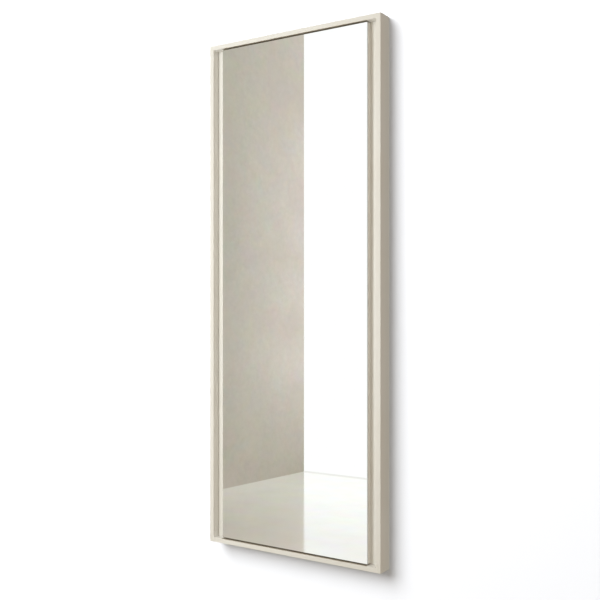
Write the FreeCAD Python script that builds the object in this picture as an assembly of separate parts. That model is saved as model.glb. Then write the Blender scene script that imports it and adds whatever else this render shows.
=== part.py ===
import FreeCAD, Part
import os

# A full-length wall mirror. A mitred box frame of lacquered board holds a back panel in its grooves. In
# front of the back panel stands a raised carrier with the mirror glass, so that a recessed channel runs
# down each side of the glass. The frame hangs on a two-part aluminium cleat and lifts off it.
# Millimetres. +X is right as seen from the front, +Z is up and the front faces -Y. The origin is the
# middle of the wall cleat's row of screw holes, on the wall.

# Overall size
HEIGHT = 1800.0
WIDTH = 700.0
DEPTH = 60.0  # of the frame boards, front edge to rear edge
HANG_DROP = 120.0  # from the frame's top edge down to the wall screws
PAD_THICKNESS = 2.0  # wall pads, which hold the frame's rear edge off the wall

# Frame boards and back panel
BOARD = 16.0
BOARD_EDGE_RADIUS = 0.8
BACK_PANEL = 8.0
GROOVE_DEPTH = 6.0
GROOVE_PLAY = 0.2  # behind the back panel, whose front face sits against the groove
PANEL_EDGE_PLAY = 0.5  # between the back panel's edge and the bottom of its groove

# Raised mirror panel
CHANNEL = 36.0  # width of the open channel beside the glass
PANEL_GAP = 3.0  # above and below the glass
GLASS_RECESS = 6.8  # from the frame's front edge back to the glass
GLASS = 4.0
FRONT_ARRIS = 1.5  # flat ground along the glass's edges
REAR_ARRIS = 0.5
FILM = 0.2
TAPE = 1.0
TAPE_WIDTH = 19.0
TAPE_INSET = 8.0  # from the glass's edges
TAPE_COUNT = 5
CARRIER = 16.0
CARRIER_EDGE_RADIUS = 0.5

# Loose tongues across the mitres
TONGUE_THICKNESS = 3.0
TONGUE_WIDTH = 12.0
TONGUE_INSET = 6.0  # from the front edge, and from the back panel
TONGUE_PLAY = 0.1

# Steel corner brackets
BRACKET_LEG = 40.0
BRACKET_THICKNESS = 2.0
BRACKET_MARGIN = 4.0  # from the bracket to the back panel, and to the frame's rear edge
BRACKET_HOLES = (14.0, 31.0)  # from the inner corner

# Wood screws
SHANK_RADIUS = 1.75
HEAD_RADIUS = 3.6
HEAD_HEIGHT = 2.2
HEAD_EDGE_RADIUS = 0.9
POINT_LENGTH = 3.0
POINT_RADIUS = 0.2
CROSS_LENGTH = 3.8
CROSS_WIDTH = 0.9
CROSS_DEPTH = 1.3
SCREW_PLAY = 0.05  # round the screw, in what it passes through
SCREW_COVER = 4.0  # wood left beyond the screw's point
CARRIER_SCREW_COLUMNS = 3
CARRIER_SCREW_ROWS = 6
CARRIER_SCREW_MARGIN = 60.0  # from the carrier's edges

# Hanging cleats
CLEAT_LENGTH = 500.0
CLEAT_WALL = 3.0
CLEAT_EDGE_RADIUS = 0.6
CLEAT_PLATE = 40.0  # height of each cleat's plate
LIP_ENGAGEMENT = 12.0  # how far the frame cleat's lip reaches down behind the wall cleat's
LIP_DROP = 8.0  # from the wall screws down to the top of the wall cleat's lip
LIP_PLAY = 1.0  # between the two lips, front to back
LIP_END_PLAY = 2.0  # below the hanging lip
HANG_PLAY = 0.2  # between the frame cleat's web and the lip that it rests on
WALL_HOLE_RADIUS = 2.75
WALL_HOLE_SPACINGS = (400.0, 200.0)
CLEAT_SCREW_COUNT = 5
CLEAT_SCREW_MARGIN = 30.0  # from the frame cleat's ends
CLEAT_SCREW_RISE = 14.0  # above the frame cleat's lower edge

# Wall pads
PAD_RADIUS = 6.0
PAD_INSET = 40.0  # from the frame's top and bottom edges
PAD_EDGE_RADIUS = 0.5

# Places that follow from these
TOP = HANG_DROP
BOTTOM = HANG_DROP - HEIGHT
MIDDLE = (TOP + BOTTOM) / 2
REAR = -PAD_THICKNESS
FRONT = REAR - DEPTH
GLASS_FRONT = FRONT + GLASS_RECESS
GLASS_REAR = GLASS_FRONT + GLASS
FILM_REAR = GLASS_REAR + FILM
CARRIER_FRONT = FILM_REAR + TAPE
FLOOR = CARRIER_FRONT + CARRIER  # the channel's floor, which is the back panel's front face
PANEL_REAR = FLOOR + BACK_PANEL
CLEAR_WIDTH = WIDTH - 2 * BOARD
CLEAR_HEIGHT = HEIGHT - 2 * BOARD
GLASS_WIDTH = CLEAR_WIDTH - 2 * CHANNEL
GLASS_HEIGHT = CLEAR_HEIGHT - 2 * PANEL_GAP
CAVITY = REAR - PANEL_REAR
BRACKET_WIDTH = CAVITY - 2 * BRACKET_MARGIN
CARRIER_SCREW_LENGTH = BACK_PANEL + CARRIER - SCREW_COVER
CLEAT_SCREW_LENGTH = CLEAT_WALL + CARRIER_SCREW_LENGTH
BRACKET_SCREW_LENGTH = BRACKET_THICKNESS + BOARD - SCREW_COVER
LIP_TOP = -LIP_DROP
WEB_BOTTOM = LIP_TOP + HANG_PLAY
FRAME_CLEAT_TOP = WEB_BOTTOM + CLEAT_WALL
FRAME_CLEAT_BOTTOM = FRAME_CLEAT_TOP - CLEAT_PLATE
CORNERS = (("top_left", -1, 1), ("top_right", 1, 1), ("bottom_left", -1, -1), ("bottom_right", 1, -1))

UP = FreeCAD.Vector(0, 0, 1)
ACROSS = FreeCAD.Vector(1, 0, 0)
TO_FRONT = FreeCAD.Vector(0, -1, 0)
TO_WALL = FreeCAD.Vector(0, 1, 0)


def block(x, y, z):
    """A box between two values on each axis, given in either order."""
    low = FreeCAD.Vector(min(x), min(y), min(z))
    size = [abs(pair[1] - pair[0]) for pair in (x, y, z)]
    return Part.makeBox(size[0], size[1], size[2], low)


def centred_block(width, height, y):
    """An upright panel centred on the frame, between two depths."""
    return block((-width / 2, width / 2), y, (MIDDLE - height / 2, MIDDLE + height / 2))


def edges_along(shape, direction):
    """The straight edges of a shape that run along a direction."""
    straight = [edge for edge in shape.Edges if isinstance(edge.Curve, Part.Line)]
    return [edge for edge in straight if edge.Curve.Direction.cross(direction).Length < 1e-6]


def placed(shape, point, direction):
    """A copy of a shape made along +Z from the origin, moved to a point and turned to a direction."""
    copy = shape.copy()
    copy.Placement = FreeCAD.Placement(point, FreeCAD.Rotation(UP, direction))
    return copy


def is_level_at(edge, y):
    """Whether an edge lies wholly at this depth."""
    return edge.BoundBox.YLength < 1e-6 and abs(edge.CenterOfMass.y - y) < 1e-6


def spread(count, reach):
    """Evenly spaced places from -reach to +reach."""
    return [reach * (2 * index / (count - 1) - 1) for index in range(count)]


# Screws

def screw(length, countersunk):
    """A wood screw along +Z, with the outer face of its material at z = 0. A pan head stands below that."""
    if countersunk:
        head_low = 0.0
        head = Part.makeCone(HEAD_RADIUS, SHANK_RADIUS, HEAD_HEIGHT)
    else:
        head_low = -HEAD_HEIGHT
        head = Part.makeCylinder(HEAD_RADIUS, HEAD_HEIGHT, UP * head_low)
        rim = [edge for edge in head.Edges if edge.BoundBox.ZMax < head_low + 1e-6]
        head = head.makeFillet(HEAD_EDGE_RADIUS, rim)
    shank_end = length - POINT_LENGTH
    shank = Part.makeCylinder(SHANK_RADIUS, shank_end)
    point = Part.makeCone(SHANK_RADIUS, POINT_RADIUS, POINT_LENGTH, UP * shank_end)
    body = head.fuse([shank, point]).removeSplitter()
    half_long = CROSS_LENGTH / 2
    half_wide = CROSS_WIDTH / 2
    cross_z = (head_low, head_low + CROSS_DEPTH)
    slot = block((-half_long, half_long), (-half_wide, half_wide), cross_z)
    cross_slot = block((-half_wide, half_wide), (-half_long, half_long), cross_z)
    return body.cut([slot, cross_slot])


def screw_hole(length, countersunk):
    """What is cut out for a screw: its shank and, in metal, its countersunk head, with the screw's play."""
    hole = Part.makeCylinder(SHANK_RADIUS + SCREW_PLAY, length + SCREW_PLAY)
    if not countersunk:
        return hole
    head_hole = Part.makeCone(HEAD_RADIUS + SCREW_PLAY, SHANK_RADIUS + SCREW_PLAY, HEAD_HEIGHT)
    return hole.fuse(head_hole)


def carrier_screw_seats():
    """Where the screws that hold the carrier enter the back panel's rear face."""
    columns = spread(CARRIER_SCREW_COLUMNS, GLASS_WIDTH / 2 - CARRIER_SCREW_MARGIN)
    rows = spread(CARRIER_SCREW_ROWS, GLASS_HEIGHT / 2 - CARRIER_SCREW_MARGIN)
    return [FreeCAD.Vector(x, PANEL_REAR, MIDDLE + z) for x in columns for z in rows]


def cleat_screw_seats():
    """Where the screws that hold the frame cleat enter its plate."""
    y = PANEL_REAR + CLEAT_WALL
    z = FRAME_CLEAT_BOTTOM + CLEAT_SCREW_RISE
    return [FreeCAD.Vector(x, y, z) for x in spread(CLEAT_SCREW_COUNT, CLEAT_LENGTH / 2 - CLEAT_SCREW_MARGIN)]


def bracket_screw_seats(side, level):
    """Seats and directions of the four screws of one corner bracket. side and level are -1 or 1."""
    x_face = side * CLEAR_WIDTH / 2
    z_face = MIDDLE + level * CLEAR_HEIGHT / 2
    y = PANEL_REAR + CAVITY / 2
    seats = []
    for reach in BRACKET_HOLES:
        on_stile = FreeCAD.Vector(x_face - side * BRACKET_THICKNESS, y, z_face - level * reach)
        seats.append((on_stile, ACROSS * side))
        on_rail = FreeCAD.Vector(x_face - side * reach, y, z_face - level * BRACKET_THICKNESS)
        seats.append((on_rail, UP * level))
    return seats


def carrier_screw_holes():
    hole = screw_hole(CARRIER_SCREW_LENGTH, False)
    return [placed(hole, seat, TO_FRONT) for seat in carrier_screw_seats()]


def cleat_screw_holes():
    hole = screw_hole(CLEAT_SCREW_LENGTH, True)
    return [placed(hole, seat, TO_FRONT) for seat in cleat_screw_seats()]


def bracket_screw_holes(side, level):
    hole = screw_hole(BRACKET_SCREW_LENGTH, False)
    return [placed(hole, seat, way) for seat, way in bracket_screw_seats(side, level)]


# Frame

def tongue(side, level, play):
    """A loose tongue across one mitre, or with play the slot that it is glued into."""
    half_thick = TONGUE_THICKNESS / 2 + play
    half_wide = TONGUE_WIDTH / 2 + play
    y = (FRONT + TONGUE_INSET - play, FLOOR - TONGUE_INSET + play)
    strip = block((-half_thick, half_thick), y, (-half_wide, half_wide))
    strip.rotate(FreeCAD.Vector(0, 0, 0), TO_WALL, -45 * side * level)
    x = side * (WIDTH - BOARD) / 2
    z = MIDDLE + level * (HEIGHT - BOARD) / 2
    strip.translate(FreeCAD.Vector(x, 0, z))
    return strip


def frame_board(length):
    """A grooved and mitred board along +Z, centred on z = 0, with its outer face at x = 0 facing -X."""
    board = block((0, BOARD), (FRONT, REAR), (-length / 2, length / 2))
    board = board.makeFillet(BOARD_EDGE_RADIUS, edges_along(board, UP))
    groove_y = (FLOOR, PANEL_REAR + GROOVE_PLAY)
    groove = block((BOARD - GROOVE_DEPTH, BOARD), groove_y, (-length / 2, length / 2))
    mitres = []
    for end in (-1, 1):
        tip = FreeCAD.Vector(0, FRONT, end * length / 2)
        inner = FreeCAD.Vector(BOARD, FRONT, end * (length / 2 - BOARD))
        corner = FreeCAD.Vector(BOARD, FRONT, end * length / 2)
        offcut = Part.Face(Part.makePolygon([tip, inner, corner, tip]))
        mitres.append(offcut.extrude(TO_WALL * DEPTH))
    return board.cut([groove] + mitres)


def frame():
    """The two stiles and two rails, each turned to its side of the frame and cut for tongues and screws."""
    sides = (
        ("left_stile", HEIGHT, WIDTH / 2, 0),
        ("top_rail", WIDTH, HEIGHT / 2, 90),
        ("right_stile", HEIGHT, WIDTH / 2, 180),
        ("bottom_rail", WIDTH, HEIGHT / 2, 270),
    )
    cuts = []
    for _, side, level in CORNERS:
        cuts.append(tongue(side, level, TONGUE_PLAY))
        cuts += bracket_screw_holes(side, level)
    boards = {}
    for name, length, reach, turn in sides:
        board = frame_board(length)
        board.translate(ACROSS * -reach)
        board.rotate(FreeCAD.Vector(0, 0, 0), TO_WALL, turn)
        board.translate(UP * MIDDLE)
        near = [cut for cut in cuts if cut.BoundBox.intersect(board.BoundBox)]
        boards[name] = board.cut(near)
    return boards


def corner_bracket(side, level):
    """A steel angle screwed into the inner faces of a stile and a rail, behind the back panel."""
    x_face = side * CLEAR_WIDTH / 2
    z_face = MIDDLE + level * CLEAR_HEIGHT / 2
    middle_y = PANEL_REAR + CAVITY / 2
    y = (middle_y - BRACKET_WIDTH / 2, middle_y + BRACKET_WIDTH / 2)
    far_x = x_face - side * BRACKET_LEG
    far_z = z_face - level * BRACKET_LEG
    upright = block((x_face, x_face - side * BRACKET_THICKNESS), y, (z_face, far_z))
    level_leg = block((x_face, far_x), y, (z_face, z_face - level * BRACKET_THICKNESS))
    angle = upright.fuse(level_leg).removeSplitter()
    outer_bend = FreeCAD.Vector(x_face, middle_y, z_face)
    bend = [edge for edge in angle.Edges if edge.CenterOfMass.distanceToPoint(outer_bend) < 1e-6]
    angle = angle.makeFillet(BRACKET_THICKNESS, bend)
    return angle.cut(bracket_screw_holes(side, level))


def wall_pad(side, level):
    """A round pad stuck to a stile's rear edge."""
    x = side * (WIDTH - BOARD) / 2
    z = MIDDLE + level * (HEIGHT / 2 - PAD_INSET)
    pad = Part.makeCylinder(PAD_RADIUS, PAD_THICKNESS, FreeCAD.Vector(x, REAR, z), TO_WALL)
    rim = [edge for edge in pad.Edges if edge.BoundBox.YMin > REAR + PAD_THICKNESS - 1e-6]
    return pad.makeFillet(PAD_EDGE_RADIUS, rim)


# Panels

def back_panel():
    """The panel that forms the channels' floor. It is held in the grooves of all four boards."""
    overhang = 2 * (GROOVE_DEPTH - PANEL_EDGE_PLAY)
    panel = centred_block(CLEAR_WIDTH + overhang, CLEAR_HEIGHT + overhang, (FLOOR, PANEL_REAR))
    return panel.cut(carrier_screw_holes() + cleat_screw_holes())


def carrier_panel():
    """The raised panel behind the glass, screwed on through the back panel."""
    panel = centred_block(GLASS_WIDTH, GLASS_HEIGHT, (CARRIER_FRONT, FLOOR))
    front_edges = [edge for edge in panel.Edges if is_level_at(edge, CARRIER_FRONT)]
    panel = panel.makeFillet(CARRIER_EDGE_RADIUS, front_edges)
    return panel.cut(carrier_screw_holes() + cleat_screw_holes())


def mirror_glass():
    """The silvered glass, with a ground arris round both faces."""
    glass = centred_block(GLASS_WIDTH, GLASS_HEIGHT, (GLASS_FRONT, GLASS_REAR))
    for arris, face_y in ((FRONT_ARRIS, GLASS_FRONT), (REAR_ARRIS, GLASS_REAR)):
        around = [edge for edge in glass.Edges if is_level_at(edge, face_y)]
        glass = glass.makeChamfer(arris, around)
    return glass


def safety_film():
    """The film on the silvering, which holds the pieces if the glass breaks."""
    inset = 2 * REAR_ARRIS
    return centred_block(GLASS_WIDTH - inset, GLASS_HEIGHT - inset, (GLASS_REAR, FILM_REAR))


def mounting_tapes():
    """Upright strips of double-sided tape between the film and the carrier."""
    reach = GLASS_WIDTH / 2 - TAPE_INSET - TAPE_WIDTH / 2
    height = GLASS_HEIGHT - 2 * TAPE_INSET
    strip = centred_block(TAPE_WIDTH, height, (FILM_REAR, CARRIER_FRONT))
    tapes = {}
    for index, x in enumerate(spread(TAPE_COUNT, reach)):
        tapes[f"mounting_tape_{index + 1}"] = strip.translated(ACROSS * x)
    return tapes


# Hanging cleats

def extruded(outline):
    """An aluminium extrusion along X with this outline of (y, z) points, its long edges slightly rounded."""
    points = [FreeCAD.Vector(-CLEAT_LENGTH / 2, y, z) for y, z in outline]
    bar = Part.Face(Part.makePolygon(points + points[:1])).extrude(ACROSS * CLEAT_LENGTH)
    return bar.makeFillet(CLEAT_EDGE_RADIUS, edges_along(bar, ACROSS))


def lip_depths():
    """The rear faces of the frame cleat's lip and of the wall cleat's lip, which share the room evenly."""
    room = -PANEL_REAR - 4 * CLEAT_WALL - LIP_PLAY
    frame_lip = -CLEAT_WALL - room / 2
    wall_lip = frame_lip - CLEAT_WALL - LIP_PLAY
    return frame_lip, wall_lip


def wall_cleat():
    """The hanger that stays on the wall: a plate with screw holes and an upturned lip in front of it."""
    frame_lip, lip = lip_depths()
    web_top = LIP_TOP - LIP_ENGAGEMENT - LIP_END_PLAY
    bottom = web_top - CLEAT_WALL
    outline = (
        (0, bottom),
        (0, bottom + CLEAT_PLATE),
        (-CLEAT_WALL, bottom + CLEAT_PLATE),
        (-CLEAT_WALL, web_top),
        (lip, web_top),
        (lip, LIP_TOP),
        (lip - CLEAT_WALL, LIP_TOP),
        (lip - CLEAT_WALL, bottom),
    )
    holes = []
    for spacing in WALL_HOLE_SPACINGS:
        for x in (-spacing / 2, spacing / 2):
            start = FreeCAD.Vector(x, -2 * CLEAT_WALL, 0)
            holes.append(Part.makeCylinder(WALL_HOLE_RADIUS, 3 * CLEAT_WALL, start, TO_WALL))
    return extruded(outline).cut(holes)


def frame_cleat():
    """The hanger on the frame: a plate on the back panel, a web at its top and a lip that hangs from it."""
    lip, wall_lip = lip_depths()
    outline = (
        (PANEL_REAR, FRAME_CLEAT_BOTTOM),
        (PANEL_REAR, FRAME_CLEAT_TOP),
        (lip, FRAME_CLEAT_TOP),
        (lip, WEB_BOTTOM - LIP_ENGAGEMENT),
        (lip - CLEAT_WALL, WEB_BOTTOM - LIP_ENGAGEMENT),
        (lip - CLEAT_WALL, WEB_BOTTOM),
        (PANEL_REAR + CLEAT_WALL, WEB_BOTTOM),
        (PANEL_REAR + CLEAT_WALL, FRAME_CLEAT_BOTTOM),
    )
    return extruded(outline).cut(cleat_screw_holes())


def screw_groups():
    """Each kind of screw as a group of separate solids."""
    carrier_screw = screw(CARRIER_SCREW_LENGTH, False)
    cleat_screw = screw(CLEAT_SCREW_LENGTH, True)
    bracket_screw = screw(BRACKET_SCREW_LENGTH, False)
    on_brackets = []
    for _, side, level in CORNERS:
        on_brackets += [placed(bracket_screw, seat, way) for seat, way in bracket_screw_seats(side, level)]
    groups = {
        "carrier_screws": [placed(carrier_screw, seat, TO_FRONT) for seat in carrier_screw_seats()],
        "frame_cleat_screws": [placed(cleat_screw, seat, TO_FRONT) for seat in cleat_screw_seats()],
        "corner_bracket_screws": on_brackets,
    }
    return {name: Part.makeCompound(screws) for name, screws in groups.items()}


def mirror():
    """Every node of the mirror by name."""
    nodes = frame()
    for name, side, level in CORNERS:
        nodes[f"mitre_tongue_{name}"] = tongue(side, level, 0)
        nodes[f"corner_bracket_{name}"] = corner_bracket(side, level)
        nodes[f"wall_pad_{name}"] = wall_pad(side, level)
    nodes["back_panel"] = back_panel()
    nodes["carrier_panel"] = carrier_panel()
    nodes["mirror_glass"] = mirror_glass()
    nodes["safety_film"] = safety_film()
    nodes.update(mounting_tapes())
    nodes["wall_cleat"] = wall_cleat()
    nodes["frame_cleat"] = frame_cleat()
    nodes.update(screw_groups())
    return nodes


os.makedirs("parts", exist_ok=True)
for node, shape in mirror().items():
    shape.exportStep(f"parts/{node}.step")
    print(node, "solids", len(shape.Solids), "valid", shape.isValid(), "volume", round(shape.Volume, 1))
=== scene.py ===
import math

import bpy
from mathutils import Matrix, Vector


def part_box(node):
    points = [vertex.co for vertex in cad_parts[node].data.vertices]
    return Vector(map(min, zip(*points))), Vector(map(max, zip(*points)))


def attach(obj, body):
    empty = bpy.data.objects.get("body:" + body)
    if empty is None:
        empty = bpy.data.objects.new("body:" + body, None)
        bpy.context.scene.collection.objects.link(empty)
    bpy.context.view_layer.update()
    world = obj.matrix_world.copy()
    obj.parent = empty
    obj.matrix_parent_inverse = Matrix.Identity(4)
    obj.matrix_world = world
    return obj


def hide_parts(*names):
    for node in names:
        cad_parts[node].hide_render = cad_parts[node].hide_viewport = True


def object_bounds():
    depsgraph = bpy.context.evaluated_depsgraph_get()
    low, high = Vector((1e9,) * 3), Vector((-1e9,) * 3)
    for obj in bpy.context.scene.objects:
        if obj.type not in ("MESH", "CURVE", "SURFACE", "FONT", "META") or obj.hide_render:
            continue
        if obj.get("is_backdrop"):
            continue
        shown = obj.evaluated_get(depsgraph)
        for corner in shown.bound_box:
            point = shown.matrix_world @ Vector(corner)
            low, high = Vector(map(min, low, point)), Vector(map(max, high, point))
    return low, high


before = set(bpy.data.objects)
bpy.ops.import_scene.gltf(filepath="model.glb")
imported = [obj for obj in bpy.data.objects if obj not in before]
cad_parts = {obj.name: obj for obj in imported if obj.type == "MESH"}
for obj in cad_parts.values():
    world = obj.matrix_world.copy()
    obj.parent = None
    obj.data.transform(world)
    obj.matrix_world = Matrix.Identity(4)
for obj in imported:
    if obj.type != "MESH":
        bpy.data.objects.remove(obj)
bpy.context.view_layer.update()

# Camera: well to the right of the mirror, level with its middle and three metres away. It has a moderate
# portrait lens and is held level, so that upright edges stay upright.
camera_data = bpy.data.cameras.new("camera")
camera_data.sensor_width = 36.0
camera_data.lens = 52.275
camera = bpy.data.objects.new("camera", camera_data)
camera.location = (1.66526, -2.53712, -0.80239)
camera.rotation_euler = (math.radians(90), 0, math.radians(33.2645))
bpy.context.collection.objects.link(camera)
bpy.context.scene.camera = camera
bpy.context.scene.view_settings.view_transform = "Standard"


# Frame boards: four lengths of 16 mm fibreboard, mitred and glued round the back panel, then sprayed in satin
# lacquer. Behind the back panel, where nobody looks, they have only grey-beige primer with some overspray.
def colour(code):
    """An sRGB hex colour as linear RGBA."""
    channels = [int(code[start:start + 2], 16) / 255 for start in (1, 3, 5)]
    linear = [c / 12.92 if c <= 0.04045 else ((c + 0.055) / 1.055) ** 2.4 for c in channels]
    return (*linear, 1.0)


def add(tree, kind, *values, **settings):
    """Add a node. Values fill its sockets in order. A capitalised setting is a socket, others are options."""
    node = tree.nodes.new("ShaderNode" + kind)
    for name, value in settings.items():
        if name[0].islower():
            setattr(node, name, value)
    sockets = list(zip(node.inputs, values))
    named = [name for name in settings if name[0].isupper()]
    sockets += [(node.inputs[name.replace("_", " ")], settings[name]) for name in named]
    for socket, value in sockets:
        if isinstance(value, bpy.types.Node):
            value = value.outputs[0]
        if isinstance(value, bpy.types.NodeSocket):
            tree.links.new(value, socket)
        else:
            socket.default_value = value
    return node


def start_material(name):
    """An empty material, its node tree, and the place on the piece where a pattern is read."""
    material = bpy.data.materials.new(name)
    material.use_nodes = True
    material.node_tree.nodes.clear()
    return material, material.node_tree, add(material.node_tree, "TexCoord").outputs["Object"]


def paint(material, *nodes):
    """Give CAD nodes their material."""
    for node in nodes:
        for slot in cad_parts[node].material_slots:
            slot.material = material


FRAME_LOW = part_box("left_stile")[0]
FRAME_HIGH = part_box("right_stile")[1]
CENTRE_HEIGHT = (FRAME_LOW.z + FRAME_HIGH.z) / 2
PANEL_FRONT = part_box("back_panel")[0].y
BOARD_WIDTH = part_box("left_stile")[1].x - FRAME_LOW.x
GLASS_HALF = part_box("mirror_glass")[1].x
LACQUER = "#ebe9e3"
LACQUER_CLOUD = "#eae7df"
LACQUER_THIN = "#e4ddcf"
# A lighter, cooler tone for the inner faces and the raised panel's edges: painted light on faces in shade.
PAINTED_LIGHT_TONE = "#f3f1ed"
# Darker, cooler tone on the outer faces near the wall: painted shade.
PAINTED_WALL_SHADE = "#e0e1db"
PRIMER = "#c9c3b6"
# Dark brown-grey on the rails' inner faces beside the glass: painted shade.
PAINTED_GAP_SHADE = "#a99d8a"
# Painted shade in the corner where the inner faces meet the back panel, and its width.
PAINTED_CORNER_SHADE = "#8f8574"
CORNER_SHADE_WIDTH = 0.002
WORN_WIDTH = 0.0012
# How far back from the front the painted wall shade begins.
UNSHADED_DEPTH = 0.01
OVERSPRAY_REACH = 0.008
# A point this close to a face counts as on it.
ON_FACE = 0.0003


def depth_into_frame(tree, spot):
    """How far a point lies outside the frame's outline: zero at the outer edge and less inside it."""
    place = add(tree, "SeparateXYZ", spot)
    across = add(tree, "Math", place.outputs["X"], operation="ABSOLUTE")
    level = add(tree, "Math", place.outputs["Z"], CENTRE_HEIGHT, operation="SUBTRACT")
    up = add(tree, "Math", level, operation="ABSOLUTE")
    past_side = add(tree, "Math", across, FRAME_HIGH.x, operation="SUBTRACT")
    past_end = add(tree, "Math", up, FRAME_HIGH.z - CENTRE_HEIGHT, operation="SUBTRACT")
    return place, add(tree, "Math", past_side, past_end, operation="MAXIMUM")


def sprayed_lacquer(tree, spot, tone, tone_beside):
    """Satin lacquer straight from the gun: even colour, a sheen that drifts a little, and fine orange peel.
    The tone drifts over some 220 mm, and the peel's dimples are about 2.5 mm across."""
    drift = add(tree, "TexNoise", Vector=spot, Scale=1 / 0.22, Detail=2.0)
    blend = add(tree, "MapRange", drift, 0.3, 0.7, 0.0, 1.0)
    coat = add(tree, "MixRGB", blend, colour(tone), colour(tone_beside))
    sheen = add(tree, "MapRange", drift, 0.3, 0.7, 0.36, 0.43)
    peel = add(tree, "TexNoise", Vector=spot, Scale=1 / 0.0025, Detail=1.0)
    return coat, sheen, peel


board_lacquer, tree, spot = start_material("satin lacquer on fibreboard")
coat, sheen, peel = sprayed_lacquer(tree, spot, LACQUER, LACQUER_CLOUD)
place, depth = depth_into_frame(tree, spot)
# The arrises of the front are rubbed, in patches about 30 mm long, and the coat is thin there.
from_middle = add(tree, "Math", depth, BOARD_WIDTH / 2, operation="ADD")
from_middle = add(tree, "Math", from_middle, operation="ABSOLUTE")
near_edge = add(tree, "MapRange", from_middle, BOARD_WIDTH / 2 - WORN_WIDTH, BOARD_WIDTH / 2, 0.0, 1.0)
at_front = add(tree, "MapRange", place.outputs["Y"], FRAME_LOW.y + WORN_WIDTH, FRAME_LOW.y, 0.0, 1.0)
rub = add(tree, "TexNoise", Vector=spot, Scale=1 / 0.03, Detail=3.0)
rub = add(tree, "MapRange", rub, 0.35, 0.75, 0.15, 0.7)
thin = add(tree, "Math", near_edge, at_front, operation="MULTIPLY")
thin = add(tree, "Math", thin, rub, operation="MULTIPLY")
coat = add(tree, "MixRGB", thin, coat, colour(LACQUER_THIN))
# On the outer faces the tone grows a little darker and cooler towards the wall: painted shade near the wall.
outside = add(tree, "Math", depth, -ON_FACE, operation="GREATER_THAN")
shade_starts = FRAME_LOW.y + UNSHADED_DEPTH
wall_shading = add(tree, "MapRange", place.outputs["Y"], shade_starts, FRAME_HIGH.y, 0.0, 1.0)
wall_shading = add(tree, "Math", wall_shading, outside, operation="MULTIPLY")
coat = add(tree, "MixRGB", wall_shading, coat, colour(PAINTED_WALL_SHADE))
# In front of the back panel the inner faces take a lighter, cooler tone: painted light that lifts their
# shade. Behind it they have primer.
inside = add(tree, "Math", depth, ON_FACE - BOARD_WIDTH, operation="LESS_THAN")
behind = add(tree, "Math", place.outputs["Y"], PANEL_FRONT + ON_FACE, operation="GREATER_THAN")
hidden = add(tree, "Math", inside, behind, operation="MULTIPLY")
coat = add(tree, "MixRGB", inside, coat, colour(PAINTED_LIGHT_TONE))
# The rails' inner faces beside the glass take a dark brown-grey tone: painted shade in the gap above and
# below the glass.
across = add(tree, "Math", place.outputs["X"], operation="ABSOLUTE")
beside_glass = add(tree, "Math", across, GLASS_HALF, operation="LESS_THAN")
gap_shade = add(tree, "Math", inside, beside_glass, operation="MULTIPLY")
coat = add(tree, "MixRGB", gap_shade, coat, colour(PAINTED_GAP_SHADE))
overspray_from = FRAME_HIGH.y - OVERSPRAY_REACH
overspray = add(tree, "MapRange", place.outputs["Y"], overspray_from, FRAME_HIGH.y, 0.0, 0.8)
primer = add(tree, "MixRGB", overspray, colour(PRIMER), colour(LACQUER))
coat = add(tree, "MixRGB", hidden, coat, primer)
sheen = add(tree, "MapRange", hidden, 0.0, 1.0, sheen, 0.75)
# A dark hairline on the inner faces where the panel enters its groove: painted shade in the corner.
corner_shade = add(tree, "Math", place.outputs["Y"], PANEL_FRONT, operation="SUBTRACT")
corner_shade = add(tree, "Math", corner_shade, operation="ABSOLUTE")
corner_shade = add(tree, "MapRange", corner_shade, CORNER_SHADE_WIDTH, CORNER_SHADE_WIDTH / 3, 0.0, 0.8)
corner_shade = add(tree, "Math", corner_shade, inside, operation="MULTIPLY")
coat = add(tree, "MixRGB", corner_shade, coat, colour(PAINTED_CORNER_SHADE))
relief = add(tree, "Bump", Height=peel, Strength=0.12, Distance=0.0002)
skin = add(tree, "BsdfPrincipled", Base_Color=coat, Roughness=sheen, Normal=relief, IOR=1.5)
add(tree, "OutputMaterial", skin)
paint(board_lacquer, "left_stile", "right_stile", "top_rail", "bottom_rail")


# Back panel: 8 mm fibreboard held in the frame's grooves. Its front face, the floor of the two open channels,
# is lacquered like the frame. Its rear face has only a sealing coat, so the brown pressed fibres show.
PANEL_LACQUER = "#eceae4"
PANEL_CLOUD = "#ebe8e0"
panel_finish, tree, spot = start_material("fibreboard panel, lacquered front and sealed back")
coat, sheen, peel = sprayed_lacquer(tree, spot, PANEL_LACQUER, PANEL_CLOUD)
place = add(tree, "SeparateXYZ", spot)
# The seal has soaked in unevenly, in clouds about 300 mm wide.
cloud = add(tree, "TexNoise", Vector=spot, Scale=1 / 0.3, Detail=4.0, Roughness=0.6)
# Fibre bundles are about 1 mm wide, and drawn 5 mm wide so that they show from across a room.
lie = add(tree, "Mapping", Vector=spot, Rotation=(0.0, math.radians(18), 0.0), Scale=(1.0, 1.0, 0.45))
fibre = add(tree, "TexNoise", Vector=lie, Scale=1 / 0.005, Detail=5.0, Roughness=0.7)
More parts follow.
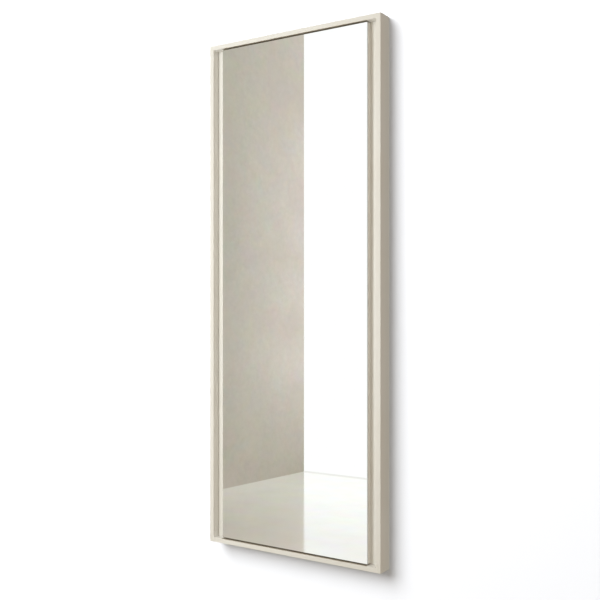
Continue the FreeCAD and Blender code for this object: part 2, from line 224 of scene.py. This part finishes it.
# A dark speck of bark stands about every 9 mm.
speck = add(tree, "TexVoronoi", Vector=spot, Scale=1 / 0.009)
cloud = add(tree, "MapRange", cloud, 0.3, 0.7, 0.0, 1.0)
board = add(tree, "MixRGB", cloud, colour("#bf9f79"), colour("#b19069"))
pale = add(tree, "MapRange", fibre, 0.4, 0.75, 0.0, 0.55)
board = add(tree, "MixRGB", pale, board, colour("#cfb18d"))
dark = add(tree, "MapRange", speck, 0.1, 0.2, 0.5, 0.0)
board = add(tree, "MixRGB", dark, board, colour("#7d5f3f"))
rear = add(tree, "Math", place.outputs["Y"], PANEL_FRONT + ON_FACE, operation="GREATER_THAN")
surface = add(tree, "MixRGB", rear, coat, board)
rear_gloss = add(tree, "MapRange", fibre, 0.3, 0.7, 0.55, 0.72)
gloss = add(tree, "MapRange", rear, 0.0, 1.0, sheen, rear_gloss)
height = add(tree, "MapRange", rear, 0.0, 1.0, peel, fibre)
relief = add(tree, "Bump", Height=height, Strength=0.15, Distance=0.0003)
skin = add(tree, "BsdfPrincipled", Base_Color=surface, Roughness=gloss, Normal=relief, IOR=1.5)
add(tree, "OutputMaterial", skin)
paint(panel_finish, "back_panel")


# Carrier panel: 16 mm fibreboard that lifts the glass clear of the channels, screwed on from behind.
# It is lacquered on its front and all four edges, and its edges show beside and below the glass.
carrier_finish, tree, spot = start_material("satin lacquer on the raised panel")
coat, sheen, peel = sprayed_lacquer(tree, spot, PANEL_LACQUER, PANEL_CLOUD)
place = add(tree, "SeparateXYZ", spot)
# The cut edges take a lighter, cooler tone than the faces: painted light that lifts their shade. Across the
# middle of each edge the tone is a touch darker, where the cut fibreboard drinks lacquer.
CARRIER_LOW, CARRIER_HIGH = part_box("carrier_panel")
HALF_EDGE = (CARRIER_HIGH.y - CARRIER_LOW.y) / 2
into_edge = add(tree, "Math", place.outputs["Y"], CARRIER_LOW.y + HALF_EDGE, operation="SUBTRACT")
into_edge = add(tree, "Math", into_edge, operation="ABSOLUTE")
thirsty = add(tree, "MapRange", into_edge, HALF_EDGE, HALF_EDGE / 2, 0.0, 0.6)
edge = add(tree, "MixRGB", thirsty, colour(PAINTED_LIGHT_TONE), colour("#efebe2"))
cut = add(tree, "Math", into_edge, HALF_EDGE - ON_FACE, operation="LESS_THAN")
coat = add(tree, "MixRGB", cut, coat, edge)
relief = add(tree, "Bump", Height=peel, Strength=0.15, Distance=0.0002)
skin = add(tree, "BsdfPrincipled", Base_Color=coat, Roughness=sheen, Normal=relief, IOR=1.5)
add(tree, "OutputMaterial", skin)
paint(carrier_finish, "carrier_panel")


# Mirror glass: 4 mm float glass, silvered behind and ground to a narrow arris round its front. The face is a
# clear mirror, the ground arris a soft one, and the sides below it show as grey-green glass.
GLASS_LOW, GLASS_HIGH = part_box("mirror_glass")
ARRIS = 0.0015
# A point this close to the polished face counts as on it.
POLISHED = 0.00002
mirror_finish, tree, spot = start_material("silvered float glass")
place = add(tree, "SeparateXYZ", spot)
across = add(tree, "Math", place.outputs["X"], operation="ABSOLUTE")
level = add(tree, "Math", place.outputs["Z"], CENTRE_HEIGHT, operation="SUBTRACT")
up = add(tree, "Math", level, operation="ABSOLUTE")
past_side = add(tree, "Math", across, GLASS_HIGH.x - ARRIS, operation="SUBTRACT")
past_end = add(tree, "Math", up, GLASS_HIGH.z - CENTRE_HEIGHT - ARRIS, operation="SUBTRACT")
past = add(tree, "Math", past_side, past_end, operation="MAXIMUM")
on_arris = add(tree, "Math", past, POLISHED, operation="GREATER_THAN")
silver = add(tree, "Math", place.outputs["Y"], GLASS_LOW.y + ARRIS + POLISHED, operation="LESS_THAN")
tint = add(tree, "MixRGB", silver, colour("#75807a"), colour("#f7f9f7"))
# Wiping leaves faint smears, which are long and level and about 120 mm apart.
wipe = add(tree, "Mapping", Vector=spot, Rotation=(0.0, math.radians(12), 0.0), Scale=(1.0, 1.0, 3.0))
smear = add(tree, "TexNoise", Vector=wipe, Scale=1 / 0.12, Detail=6.0, Roughness=0.65)
polish = add(tree, "MapRange", smear, 0.45, 0.8, 0.004, 0.03)
gloss = add(tree, "MapRange", on_arris, 0.0, 1.0, polish, 0.2)
skin = add(tree, "BsdfPrincipled", Base_Color=tint, Metallic=silver, Roughness=gloss)
add(tree, "OutputMaterial", skin)
paint(mirror_finish, "mirror_glass")


# Safety film: a thin woven plastic film on the silvering's backing paint, which holds the pieces if the glass
# breaks. It is silver grey, and shows only in the narrow gap behind the glass.
film_finish, tree, spot = start_material("woven polypropylene film")
# The tapes of the weave are 2 mm wide.
warp = add(tree, "TexWave", Vector=spot, Scale=1 / 0.013, bands_direction="X")
weft = add(tree, "TexWave", Vector=spot, Scale=1 / 0.013, bands_direction="Z")
weave = add(tree, "Math", warp, weft, operation="MAXIMUM")
shade = add(tree, "MixRGB", weave, colour("#8e9296"), colour("#a9adb0"))
relief = add(tree, "Bump", Height=weave, Strength=0.2, Distance=0.0001)
skin = add(tree, "BsdfPrincipled", Base_Color=shade, Roughness=0.5, Normal=relief, IOR=1.49)
add(tree, "OutputMaterial", skin)
paint(film_finish, "safety_film")


# Mounting tapes: five upright strips of double-sided foam tape that carry the glass on the raised panel.
# Closed-cell polyethylene foam: off-white, dull and full of tiny bubbles.
foam_finish, tree, spot = start_material("closed-cell foam tape")
# The cells are about 0.4 mm across.
cells = add(tree, "TexVoronoi", Vector=spot, Scale=1 / 0.0004)
cell_wall = add(tree, "MapRange", cells, 0.0, 0.6, 0.0, 1.0)
shade = add(tree, "MixRGB", cell_wall, colour("#d9d7cf"), colour("#c2bfb5"))
relief = add(tree, "Bump", Height=cells, Strength=0.6, Distance=0.0001)
skin = add(tree, "BsdfPrincipled", Base_Color=shade, Roughness=0.9, Normal=relief, IOR=1.5)
add(tree, "OutputMaterial", skin)
paint(foam_finish, *[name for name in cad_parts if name.startswith("mounting_tape")])


# Mitre tongues: loose strips of 3 mm birch plywood, glued into slots across the four mitres.
# Pale sanded birch, its edges striped by the three plies.
ply_finish, tree, spot = start_material("birch plywood")
# Birch grain lines are about 2 mm apart.
along = add(tree, "Mapping", Vector=spot, Scale=(1.0, 0.12, 1.0))
grain = add(tree, "TexNoise", Vector=along, Scale=1 / 0.002, Detail=4.0, Distortion=0.4)
figure = add(tree, "MapRange", grain, 0.35, 0.7, 0.0, 1.0)
shade = add(tree, "MixRGB", figure, colour("#dcc39a"), colour("#c4a273"))
relief = add(tree, "Bump", Height=grain, Strength=0.2, Distance=0.0002)
skin = add(tree, "BsdfPrincipled", Base_Color=shade, Roughness=0.65, Normal=relief, IOR=1.5)
add(tree, "OutputMaterial", skin)
paint(ply_finish, *[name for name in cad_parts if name.startswith("mitre_tongue")])


# Corner brackets: angles bent from 2 mm steel strip and zinc plated, screwed into the inner faces of the
# boards. Bright zinc: a bluish silver with a faint straw tint, and fine lines that the rolls left.
bracket_finish, tree, spot = start_material("zinc-plated steel")
# The tint comes and goes over about 12 mm. The roll lines are 0.5 mm apart.
bloom = add(tree, "TexNoise", Vector=spot, Scale=1 / 0.012, Detail=3.0)
straw = add(tree, "MapRange", bloom, 0.35, 0.65, 0.0, 1.0)
shade = add(tree, "MixRGB", straw, colour("#c6cace"), colour("#c9c4b4"))
gloss = add(tree, "MapRange", bloom, 0.3, 0.7, 0.26, 0.4)
roll = add(tree, "Mapping", Vector=spot, Scale=(0.05, 1.0, 0.05))
lines = add(tree, "TexNoise", Vector=roll, Scale=1 / 0.0005, Detail=2.0)
relief = add(tree, "Bump", Height=lines, Strength=0.1, Distance=0.0001)
skin = add(tree, "BsdfPrincipled", Base_Color=shade, Metallic=1.0, Roughness=gloss, Normal=relief)
add(tree, "OutputMaterial", skin)
brackets = [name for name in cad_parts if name.startswith("corner_bracket_")]
brackets.remove("corner_bracket_screws")
paint(bracket_finish, *brackets)


# Hanging cleats: two 500 mm lengths of aluminium extrusion. One is screwed to the wall, the other to the back
# panel, and the second hooks over the first. Mill finish, with fine die lines along the length.
cleat_finish, tree, spot = start_material("mill-finish aluminium extrusion")
# Die lines are about 0.2 mm apart, and drawn 0.8 mm apart so that they show. Stains are about 50 mm wide.
drawn = add(tree, "Mapping", Vector=spot, Scale=(0.01, 1.0, 1.0))
lines = add(tree, "TexNoise", Vector=drawn, Scale=1 / 0.0008, Detail=3.0)
stain = add(tree, "TexNoise", Vector=spot, Scale=1 / 0.05, Detail=3.0)
stain = add(tree, "MapRange", stain, 0.35, 0.7, 0.0, 1.0)
shade = add(tree, "MixRGB", stain, colour("#d2d4d5"), colour("#c2c5c7"))
gloss = add(tree, "MapRange", lines, 0.3, 0.7, 0.24, 0.4)
relief = add(tree, "Bump", Height=lines, Strength=0.2, Distance=0.0001)
skin = add(tree, "BsdfPrincipled", Base_Color=shade, Metallic=1.0, Roughness=gloss, Normal=relief)
add(tree, "OutputMaterial", skin)
paint(cleat_finish, "wall_cleat", "frame_cleat")


# Screws: 3.5 mm wood screws, cold-headed from steel wire, their threads rolled between dies, zinc plated. Pan
# heads hold the raised panel and the brackets, and countersunk ones lie flush in the frame cleat.
screw_finish, tree, spot = start_material("zinc-plated screw steel")
# The plating dulls in spots about 4 mm wide.
bloom = add(tree, "TexNoise", Vector=spot, Scale=1 / 0.004, Detail=3.0)
dull = add(tree, "MapRange", bloom, 0.35, 0.65, 0.0, 1.0)
shade = add(tree, "MixRGB", dull, colour("#cdd0d2"), colour("#b9bcbf"))
gloss = add(tree, "MapRange", bloom, 0.3, 0.7, 0.22, 0.36)
skin = add(tree, "BsdfPrincipled", Base_Color=shade, Metallic=1.0, Roughness=gloss)
add(tree, "OutputMaterial", skin)

MM = 0.001
upright = math.radians(90)
HEAD_RADIUS = 3.6 * MM
HEAD_HEIGHT = 2.2 * MM
# One wing of the cross recess is cut by a block: its size, how far its middle lies below the head's top, and
# how much of its width is left at the bottom.
WING = (3.8 * MM, 0.9 * MM, 1.5 * MM)
WING_DEPTH = 0.55 * MM
WING_TAPER = 0.55
THREAD_RADIUS = 1.75 * MM
CORE_RADIUS = 1.2 * MM
POINT_LENGTH = 3.0 * MM
POINT_RADIUS = 0.15 * MM
PITCH = 1.6 * MM
RIDGE = 0.45 * MM
# The ridge's height as shares of RIDGE: where it starts, what a turn adds, and the least at the point.
RIDGE_START = 0.72
RIDGE_GAIN = 0.56
RIDGE_END = 0.08
BARE_NECK = 0.6 * MM
THREAD_STEPS = 14
# Each screw stops this much further round than the one before, in radians.
TURNED_ON = 2.4
# Heights and radii of the heads in millimetres, from the top down to the neck. The seat is at zero.
PAN_HEAD = [(2.2, 1.9), (2.14, 2.6), (1.95, 3.1), (1.6, 3.42),
            (1.1, 3.58), (0.5, 3.6), (0.1, 3.52), (0.0, 3.4)]
COUNTERSUNK_HEAD = [(0.0, 2.2), (0.0, 3.5), (-0.08, 3.6), (-0.25, 3.58), (-2.1, 1.75), (-2.5, 1.4)]


def start_shape(kind, **settings):
    """Add one primitive with nothing else selected, and go into edit mode to shape it."""
    bpy.ops.object.select_all(action="DESELECT")
    getattr(bpy.ops.mesh, f"primitive_{kind}_add")(**settings)
    bpy.ops.object.mode_set(mode="EDIT")
    bpy.context.tool_settings.mesh_select_mode = (False, False, True)
    return bpy.context.object


def choose_faces(shape, wanted):
    """In edit mode, select the faces that pass a test."""
    bpy.ops.mesh.select_all(action="DESELECT")
    bpy.ops.object.mode_set(mode="OBJECT")
    for face in shape.data.polygons:
        face.select = wanted(face)
    bpy.ops.object.mode_set(mode="EDIT")


def end_shape(shape):
    """Turn every face outwards, leave edit mode, and put the shape's place into its mesh."""
    bpy.ops.mesh.select_all(action="SELECT")
    bpy.ops.mesh.normals_make_consistent(inside=False)
    bpy.ops.object.mode_set(mode="OBJECT")
    bpy.ops.object.transform_apply()
    return shape


def select_only(shape):
    """Select one object and make it active."""
    bpy.ops.object.select_all(action="DESELECT")
    bpy.context.view_layer.objects.active = shape
    shape.select_set(True)


def turned_core(outline):
    """A turned solid on the upright axis, drawn out ring by ring down its outline."""
    height, radius = outline[0]
    shape = start_shape("circle", vertices=24, radius=radius, fill_type="NGON", location=(0, 0, height))
    for lower, wider in outline[1:]:
        bpy.ops.mesh.extrude_region_move(TRANSFORM_OT_translate={"value": (0, 0, lower - height)})
        bpy.ops.transform.resize(value=(wider / radius, wider / radius, 1), center_override=(0, 0, lower))
        height, radius = lower, wider
    return end_shape(shape)


def rolled_thread(top, length):
    """A three-sided ridge wound down the core. It grows in over half a turn and dies away along the point."""
    height, reach = top, RIDGE_START
    size = RIDGE * reach
    place = ((THREAD_RADIUS - RIDGE) * reach, 0, height)
    turn = (upright, upright, 0)
    shape = start_shape("circle", vertices=3, radius=size, fill_type="NGON", location=place, rotation=turn)
    step = 2 * math.pi / THREAD_STEPS
    while height > POINT_RADIUS - length:
        lower = height - PITCH / THREAD_STEPS
        grown = RIDGE_START + RIDGE_GAIN * (top - lower) / PITCH
        fading = max((lower + length) / POINT_LENGTH, RIDGE_END)
        next_reach = min(grown, 1.0, fading)
        scale = next_reach / reach
        bpy.ops.mesh.extrude_region_move(TRANSFORM_OT_translate={"value": (0, 0, lower - height)})
        bpy.ops.transform.rotate(value=step, orient_axis="Z", center_override=(0, 0, lower))
        bpy.ops.transform.resize(value=(scale, scale, scale), center_override=(0, 0, lower))
        height, reach = lower, next_reach
    return end_shape(shape)


def combine(shape, tool, operation):
    """Add a tool to a shape or cut it out, and remove the tool."""
    modifier = shape.modifiers.new("combine", "BOOLEAN")
    modifier.operation = operation
    modifier.solver = "EXACT"
    modifier.object = tool
    select_only(shape)
    bpy.ops.object.modifier_apply(modifier=modifier.name)
    bpy.data.objects.remove(tool)


def wood_screw(length, head):
    """One screw on the upright axis, its point down, with a tapered cross recess in its head."""
    outline = [(height * MM, radius * MM) for height, radius in head]
    top, neck = outline[0][0], outline[-1][0]
    outline += [(neck, CORE_RADIUS), (POINT_LENGTH - length, CORE_RADIUS), (-length, POINT_RADIUS)]
    screw = turned_core(outline)
    combine(screw, rolled_thread(neck - BARE_NECK, length), "UNION")
    middle = (0, 0, top - WING_DEPTH)
    for turn in (0, upright):
        wing = start_shape("cube", size=1, location=middle, rotation=(0, 0, turn), scale=WING)
        choose_faces(wing, lambda face: face.normal.z < -0.9)
        bpy.ops.transform.resize(value=(WING_TAPER, WING_TAPER, 1), center_override=(0, 0, top))
        combine(screw, end_shape(wing), "DIFFERENCE")
    select_only(screw)
    bpy.ops.object.shade_smooth_by_angle(angle=math.radians(35))
    screw.data.materials.clear()
    screw.data.materials.append(screw_finish)
    return screw


def drive(node, model, seats):
    """Copies of a screw at their seats, each laid as it is driven, joined to stand for a CAD node."""
    driven = []
    for place, lay in seats:
        screw = model.copy()
        screw.data = model.data.copy()
        bpy.context.collection.objects.link(screw)
        select_only(screw)
        screw.rotation_euler = (0, 0, TURNED_ON * len(driven))
        bpy.ops.object.transform_apply()
        screw.location, screw.rotation_euler = place, lay
        bpy.ops.object.transform_apply()
        driven.append(screw)
    bpy.data.objects.remove(model)
    for screw in driven:
        screw.select_set(True)
    bpy.ops.object.join()
    piece = bpy.context.object
    piece.name = "threaded_" + node
    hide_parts(node)
    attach(piece, "mirror")


def rows(low, high, count, index):
    """One of a number of even places from low to high, with the outer ones a screw head's radius inside."""
    return low + HEAD_RADIUS + (high - low - 2 * HEAD_RADIUS) * index / (count - 1)


# Into the raised panel from behind: three columns of six pan heads, and five countersunk ones in the cleat.
INTO_PANEL = (-upright, 0, 0)
low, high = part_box("carrier_screws")
seats = []
for column in range(3):
    for row in range(6):
        place = (rows(low.x, high.x, 3, column), high.y - HEAD_HEIGHT, rows(low.z, high.z, 6, row))
        seats.append((place, INTO_PANEL))
drive("carrier_screws", wood_screw(20 * MM, PAN_HEAD), seats)
low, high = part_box("frame_cleat_screws")
seats = [((rows(low.x, high.x, 5, column), high.y, (low.z + high.z) / 2), INTO_PANEL) for column in range(5)]
drive("frame_cleat_screws", wood_screw(23 * MM, COUNTERSUNK_HEAD), seats)

# Into the boards, out of the rear cavity: two screws in each leg of the four corner brackets.
BRACKET_STEEL = 2.0 * MM
BRACKET_HOLES = (14.0 * MM, 31.0 * MM)
low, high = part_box("corner_bracket_screws")
cavity = (low.y + high.y) / 2
inner_x = FRAME_HIGH.x - BOARD_WIDTH
inner_z = FRAME_HIGH.z - CENTRE_HEIGHT - BOARD_WIDTH
seats = []
for side in (-1, 1):
    for level in (-1, 1):
        for reach in BRACKET_HOLES:
            on_stile = (side * (inner_x - BRACKET_STEEL), cavity, CENTRE_HEIGHT + level * (inner_z - reach))
            on_rail = (side * (inner_x - reach), cavity, CENTRE_HEIGHT + level * (inner_z - BRACKET_STEEL))
            seats.append((on_stile, (0, -side * upright, 0)))
            seats.append((on_rail, ((1 + level) * upright, 0, 0)))
drive("corner_bracket_screws", wood_screw(14 * MM, PAN_HEAD), seats)


# Wall pads: 12 mm discs of pressed wool felt, stuck to the rear edge of the stiles to keep them from marking
# the wall. They are die-cut, so the rim is square but soft, and the pressed face is a little uneven.
felt_finish, tree, spot = start_material("pressed wool felt")
# Wool fibres are 0.03 mm thick, and drawn 0.4 mm thick.
wool = add(tree, "TexNoise", Vector=spot, Scale=1 / 0.0004, Detail=4.0, Distortion=1.5)
tuft = add(tree, "MapRange", wool, 0.35, 0.65, 0.0, 1.0)
shade = add(tree, "MixRGB", tuft, colour("#8d8880"), colour("#aaa59c"))
relief = add(tree, "Bump", Height=wool, Strength=0.6, Distance=0.0003)
skin = add(tree, "BsdfPrincipled", Base_Color=shade, Roughness=0.95, Normal=relief, Sheen_Weight=0.4)
add(tree, "OutputMaterial", skin)
FELT_RINGS = 5
SOFT_RIM = 0.45 * MM
UNEVEN = 0.25 * MM
unevenness = bpy.data.textures.new("felt unevenness", "CLOUDS")
unevenness.noise_scale = 1.5 * MM
for node in [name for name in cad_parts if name.startswith("wall_pad")]:
    low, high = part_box(node)
    radius = (high.x - low.x) / 2
    thickness = high.y - low.y
    middle = (low + high) / 2
    lay = (upright, 0, 0)
    pad = start_shape("cylinder", vertices=48, radius=radius, depth=thickness, location=middle, rotation=lay)
    choose_faces(pad, lambda face: abs(face.normal.z) > 0.9)
    for ring in range(FELT_RINGS):
        bpy.ops.mesh.inset(thickness=radius / (FELT_RINGS + 1))
    end_shape(pad)
    rim = pad.modifiers.new("soft rim", "BEVEL")
    rim.width = SOFT_RIM
    rim.segments = 3
    rim.limit_method = "ANGLE"
    bpy.ops.object.modifier_apply(modifier=rim.name)
    rough = pad.modifiers.new("uneven", "DISPLACE")
    rough.texture = unevenness
    rough.mid_level = 1.0
    rough.strength = UNEVEN
    bpy.ops.object.modifier_apply(modifier=rough.name)
    bpy.ops.object.shade_smooth_by_angle(angle=math.radians(50))
    pad.name = "felt_" + node
    pad.data.materials.append(felt_finish)
    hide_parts(node)
    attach(pad, "mirror")


# Stage: the white wall that the mirror hangs on, in matt paint with a little light of its own. It shows only
# from its front, so that the mirror's back can be looked at, and it lies 0.4 mm behind the cleat and pads.
FLOOR_HEIGHT = -2.25
ROOM_HEIGHT = 5.0
WALL_GAP = 0.0004
# The rays that miss what only the camera sees, and what only the glass shows.
CAMERA_ONLY = ("diffuse", "glossy", "transmission", "shadow")
MIRRORED_ONLY = ("camera", "diffuse", "transmission", "shadow")


def stage_plane(name, size, place, turn, finish, *unseen_by):
    """One flat part of the stage: its size, middle, turn and finish, and the rays that miss it."""
    bpy.ops.object.select_all(action="DESELECT")
    bpy.ops.mesh.primitive_plane_add(size=1, location=place, rotation=turn)
    plane = bpy.context.object
    plane.name = name
    plane.scale = (*size, 1)
    bpy.ops.object.transform_apply()
    plane.data.materials.append(finish)
    for ray in unseen_by:
        setattr(plane, f"visible_{ray}", False)
    plane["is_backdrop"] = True
    return plane


wall_paint, tree, spot = start_material("white wall paint")
front = add(tree, "BsdfDiffuse", Color=(0.5, 0.515, 0.54, 1.0))
glow = add(tree, "Emission", Color=(0.98, 1.0, 1.07, 1.0), Strength=0.08)
front = add(tree, "AddShader", front, glow)
rear = add(tree, "BsdfTransparent")
side = add(tree, "NewGeometry").outputs["Backfacing"]
add(tree, "OutputMaterial", add(tree, "MixShader", side, front, rear))
wall_place = (-1.0, WALL_GAP, FLOOR_HEIGHT + ROOM_HEIGHT / 2)
wall_turn = (upright, 0, 0)
wall = stage_plane("stage_wall", (5.4, ROOM_HEIGHT), wall_place, wall_turn, wall_paint, *CAMERA_ONLY)

# Stage: a pale matt floor. One just below it only throws light back, and a polished one just above it only
# shows in the glass.
FLOOR_STEP = 0.002
LEVEL = (0, 0, 0)
matt_floor, tree, spot = start_material("pale matt floor")
skin = add(tree, "BsdfDiffuse", Color=colour("#c9c7c3"))
glow = add(tree, "Emission", Color=(1.0, 0.995, 0.985, 1.0), Strength=0.38)
add(tree, "OutputMaterial", add(tree, "AddShader", skin, glow))
floor_place = (0.0, 0.0, FLOOR_HEIGHT - FLOOR_STEP)
stage_plane("stage_floor", (30.0, 30.0), floor_place, LEVEL, matt_floor, *CAMERA_ONLY)
bounce_floor, tree, spot = start_material("pale floor, as a reflector")
add(tree, "OutputMaterial", add(tree, "BsdfDiffuse", Color=colour("#d3cdc2")))
floor_place = (0.0, 0.0, FLOOR_HEIGHT - 2 * FLOOR_STEP)
stage_plane("stage_reflector", (14.0, 14.0), floor_place, LEVEL, bounce_floor, "camera", "glossy")
polished_floor, tree, spot = start_material("polished pale floor")
place = add(tree, "SeparateXYZ", spot)
# The floor glows as if lit, a little more strongly and paler further from the mirror: painted light.
lift = add(tree, "MapRange", place.outputs["Y"], -2.0, -3.2, 0.225, 0.34)
away = add(tree, "MapRange", place.outputs["Y"], -2.0, -2.8, 0.0, 1.0)
own = add(tree, "MixRGB", away, (1.0, 0.925, 0.835, 1.0), (1.0, 1.0, 0.92, 1.0))
# The polish is worn in faint patches, some 160 mm wide.
patch = add(tree, "TexNoise", Vector=spot, Scale=1 / 0.16, Detail=3.0)
worn = add(tree, "VectorMath", patch.outputs["Color"], (0.1, 0.12, 0.16), (0.95, 0.94, 0.92),
           operation="MULTIPLY_ADD")
own = add(tree, "VectorMath", own, worn, operation="MULTIPLY")
own = add(tree, "Emission", Color=own, Strength=lift)
polish = add(tree, "VectorMath", worn, (0.68, 0.685, 0.685), operation="MULTIPLY")
gloss = add(tree, "BsdfGlossy", Color=polish, Roughness=0.09)
add(tree, "OutputMaterial", add(tree, "AddShader", own, gloss))
floor_place = (0.0, 0.0, FLOOR_HEIGHT)
stage_plane("stage_mirrored_floor", (14.0, 14.0), floor_place, LEVEL, polished_floor, *MIRRORED_ONLY)

# Stage: the studio corner that the glass mirrors. A side wall in trowelled lime plaster, grey-beige and
# blotched, meets a white end wall with a thin shadow line along its foot.
CORNER = (-2.34, -3.74)


def mirrored_wall(name, length, height, heading, finish, forward=0.0):
    """A wall that only mirrored rays see, from the studio corner along a heading."""
    along, out = math.cos(heading) * length / 2, math.sin(heading) * length / 2
    place = (CORNER[0] + along, CORNER[1] + out + forward, FLOOR_HEIGHT + height / 2)
    return stage_plane(name, (length, height), place, (upright, 0, heading), finish, *MIRRORED_ONLY)


plaster, tree, spot = start_material("trowelled lime plaster")
place = add(tree, "SeparateXYZ", spot)
# The trowel leaves six blotches to the metre, on washes about 600 mm wide, with flecks of about 40 mm.
blotch = add(tree, "TexNoise", Vector=spot, Scale=6.0, Detail=6.0, Roughness=0.65, Distortion=0.7)
wash = add(tree, "TexNoise", Vector=spot, Scale=1.7, Detail=3.0)
# The wall glows as if lit, and its shading is painted light: lighter towards the corner, darker towards the
# floor and a little greyer high up.
to_corner = add(tree, "MapRange", place.outputs["Y"], -2.9, CORNER[1], 0.0, 1.0)
low_down = add(tree, "MapRange", place.outputs["Z"], -1.3, FLOOR_HEIGHT, 0.0, 1.0)
shade = add(tree, "MixRGB", to_corner, colour("#bcb7aa"), colour("#dfd6cc"))
high_up = add(tree, "MapRange", place.outputs["Z"], 0.2, 1.2, 0.0, 0.5)
shade = add(tree, "MixRGB", low_down, shade, colour("#b2ac9d"))
shade = add(tree, "MixRGB", high_up, shade, colour("#bab5a7"))
tints = add(tree, "VectorMath", blotch.outputs["Color"], (0.25, 0.2, 0.26), (0.875, 0.9, 0.88),
            operation="MULTIPLY_ADD")
shade = add(tree, "VectorMath", shade, tints, operation="MULTIPLY")
fleck = add(tree, "TexNoise", Vector=spot, Scale=24.0, Detail=4.0, Roughness=0.7)
fleck = add(tree, "MapRange", fleck, 0.3, 0.7, 0.955, 1.045)
shade = add(tree, "VectorMath", shade, fleck, operation="MULTIPLY")
wash = add(tree, "MapRange", wash, 0.4, 0.65, 0.0, 0.35)
shade = add(tree, "MixRGB", wash, shade, colour("#c6b9af"))
add(tree, "OutputMaterial", add(tree, "Emission", Color=shade, Strength=1.0))
mirrored_wall("stage_plaster_wall", 4.0, ROOM_HEIGHT, math.atan2(0.903, -0.146), plaster)

white_wall, tree, spot = start_material("white end wall")
place = add(tree, "SeparateXYZ", spot)
# The wall glows white, and greys further from the corner: painted light falloff.
away = add(tree, "MapRange", place.outputs["X"], -1.2, 0.6, 0.0, 1.0, interpolation_type="SMOOTHSTEP")
shade = add(tree, "MixRGB", away, (1.08, 1.08, 1.08, 1.0), (0.66, 0.65, 0.62, 1.0))
add(tree, "OutputMaterial", add(tree, "Emission", Color=shade, Strength=1.0))
END_HEADING = math.atan2(-0.02, 0.581)
mirrored_wall("stage_end_wall", 8.0, ROOM_HEIGHT, END_HEADING, white_wall)
joint_shadow, tree, spot = start_material("shadow line at the end wall's foot")
add(tree, "OutputMaterial", add(tree, "Emission", Color=(0.9, 0.89, 0.87, 1.0), Strength=1.0))
mirrored_wall("stage_end_wall_foot", 8.0, 0.008, END_HEADING, joint_shadow, forward=0.002)

# Light: a tall soft box stands in front, a little to the left. Another, upper left, lights only the wall and
# casts the mirror's soft shadow on it. A lamp behind and even warm light from all round fill the rest.
key_data = bpy.data.lights.new("key", "AREA")
key_data.shape = "RECTANGLE"
key_data.size = 0.65
key_data.size_y = 2.8
key_data.energy = 25
key_data.color = (0.92, 0.97, 0.98)
key = bpy.data.objects.new("key", key_data)
key.location = (-0.56, -1.65, -0.4)
key.rotation_euler = (upright, 0, math.radians(-10))
key.visible_glossy = False
bpy.context.collection.objects.link(key)

wash_data = bpy.data.lights.new("wall_wash", "AREA")
wash_data.shape = "DISK"
wash_data.size = 9.0
wash_data.energy = 2430
wash_light = bpy.data.objects.new("wall_wash", wash_data)
wash_light.location = (-3.7, -7.5, 4.3)
wash_light.rotation_euler = (math.radians(58), 0, math.radians(-26))
wash_light.visible_glossy = False
bpy.context.collection.objects.link(wash_light)
only_wall = bpy.data.collections.new("lit by the wall wash")
only_wall.objects.link(wall)
wash_light.light_linking.receiver_collection = only_wall
all_but_wall = bpy.data.collections.new("lit by the key")
all_but_wall.objects.link(wall)
all_but_wall.collection_objects[0].light_linking.link_state = "EXCLUDE"
key.light_linking.receiver_collection = all_but_wall

# The lamp behind is turned a little off square, to show the mirror's back and miss its right side.
back_data = bpy.data.lights.new("back", "SUN")
back_data.energy = 1.1
back_data.angle = math.radians(12)
back_light = bpy.data.objects.new("back", back_data)
back_light.rotation_euler = (math.radians(-72), 0, math.radians(14))
bpy.context.collection.objects.link(back_light)

# The fill is warm, and weaker from behind. The camera and reflections see a plain pale backdrop in its place.
world = bpy.data.worlds.new("studio")
bpy.context.scene.world = world
world.use_nodes = True
tree = world.node_tree
tree.nodes.clear()
path = add(tree, "LightPath")
seen = add(tree, "Math", path.outputs["Is Camera Ray"], path.outputs["Is Glossy Ray"], operation="MAXIMUM")
way = add(tree, "SeparateXYZ", add(tree, "TexCoord").outputs["Generated"])
behind = add(tree, "MapRange", way.outputs["Y"], -0.2, 0.2, 0.0, 1.0)
fill = add(tree, "MixRGB", behind, (0.54, 0.487, 0.425, 1.0), (0.34, 0.3, 0.25, 1.0))
glow = add(tree, "MixRGB", seen, fill, (0.95, 0.95, 0.94, 1.0))
add(tree, "OutputWorld", add(tree, "Background", Color=glow, Strength=1.0))

low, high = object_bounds()
